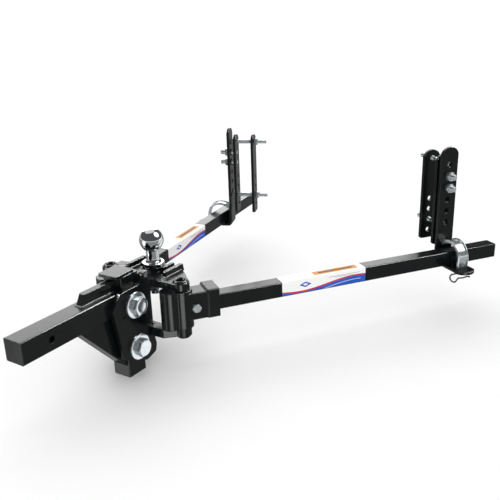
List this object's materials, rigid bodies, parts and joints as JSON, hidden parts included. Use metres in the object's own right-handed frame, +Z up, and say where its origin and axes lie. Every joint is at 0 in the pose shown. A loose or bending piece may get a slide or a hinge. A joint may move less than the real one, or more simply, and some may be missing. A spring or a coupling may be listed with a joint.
{
  "type": "weight distribution hitch",
  "caption": "Receiver shank with a ball head, swinging spring bars and clamp-on frame brackets that level a trailer and damp its sway.",
  "frame": {"origin": "centre of the shank's front end face", "axes": "+X runs back from the vehicle to the trailer, +Y is the vehicle's right, +Z is up"},
  "size_m": [1.269, 0.9448, 0.455],
  "materials": {
    "black_paint": "glossy black powder coat",
    "zinc": "bright zinc plate",
    "chrome": "polished chrome plate",
    "label": "printed vinyl label with plain coloured bands"
  },
  "bodies": {
    "root": {"ball_lock_washer": "zinc", "ball_nut": "zinc", "drop_post": "black_paint", "head_bolt_lower": "zinc", "head_bolt_upper": "zinc", "head_bottom_plate": "black_paint", "head_cheek_far": "black_paint", "head_cheek_near": "black_paint", "head_nut_lower": "zinc", "head_nut_upper": "zinc", "head_rear_web": "black_paint", "head_top_plate": "black_paint", "head_washer_lower": "zinc", "head_washer_upper": "zinc", "hitch_ball": "chrome", "post_cap": "black_paint", "shank_bar": "black_paint", "shank_gusset": "black_paint", "shank_top_rail": "black_paint", "socket_pivot_pin_far": "black_paint", "socket_pivot_pin_near": "black_paint", "tilt_rivet": "zinc", "tilt_spacer_washer": "zinc"},
    "arm_near": {"bar_label_near": "label", "socket_bolt_near": "zinc", "socket_collar_near": "black_paint", "socket_near": "black_paint", "spring_bar_near": "black_paint"},
    "bracket_near": {"bracket_nut_lower_near": "zinc", "bracket_nut_upper_near": "zinc", "bracket_stud_lower_near": "zinc", "bracket_stud_upper_near": "zinc", "frame_bolt_lower_near": "zinc", "frame_bolt_upper_near": "zinc", "frame_nut_lower_near": "zinc", "frame_nut_upper_near": "zinc", "frame_plate_inner_near": "black_paint", "frame_plate_outer_near": "black_paint", "l_bracket_near": "black_paint", "retainer_near": "zinc"},
    "clip_near": {"hairpin_clip_near": "zinc"},
    "arm_far": {"bar_label_far": "label", "socket_bolt_far": "zinc", "socket_collar_far": "black_paint", "socket_far": "black_paint", "spring_bar_far": "black_paint"},
    "bracket_far": {"bracket_nut_lower_far": "zinc", "bracket_nut_upper_far": "zinc", "bracket_stud_lower_far": "zinc", "bracket_stud_upper_far": "zinc", "frame_bolt_lower_far": "zinc", "frame_bolt_upper_far": "zinc", "frame_nut_lower_far": "zinc", "frame_nut_upper_far": "zinc", "frame_plate_inner_far": "black_paint", "frame_plate_outer_far": "black_paint", "l_bracket_far": "black_paint", "retainer_far": "zinc"},
    "clip_far": {"hairpin_clip_far": "zinc"}
  },
  "joints": [
    {"name": "socket_swing_near", "type": "hinge", "parent": "root", "child": "arm_near", "pos_m": [0.388, -0.109, 0], "axis": [0, 0, 1], "range_deg": [-39, 27]},
    {"name": "bracket_slide_near", "type": "slide", "parent": "arm_near", "child": "bracket_near", "axis": [0.8111, -0.585, 0], "range_m": [-0.24, 0.065]},
    {"name": "clip_pull_near", "type": "slide", "parent": "bracket_near", "child": "clip_near", "axis": [-0.8111, 0.585, 0], "range_m": [0, 0.06]},
    {"name": "socket_swing_far", "type": "hinge", "parent": "root", "child": "arm_far", "pos_m": [0.388, 0.109, 0], "axis": [0, 0, 1], "range_deg": [-2, 65]},
    {"name": "bracket_slide_far", "type": "slide", "parent": "arm_far", "child": "bracket_far", "axis": [0.9851, 0.1719, 0], "range_m": [-0.135, 0.17]},
    {"name": "clip_pull_far", "type": "slide", "parent": "bracket_far", "child": "clip_far", "axis": [-0.9342, -0.3567, 0], "range_m": [0, 0.06]}
  ]
}
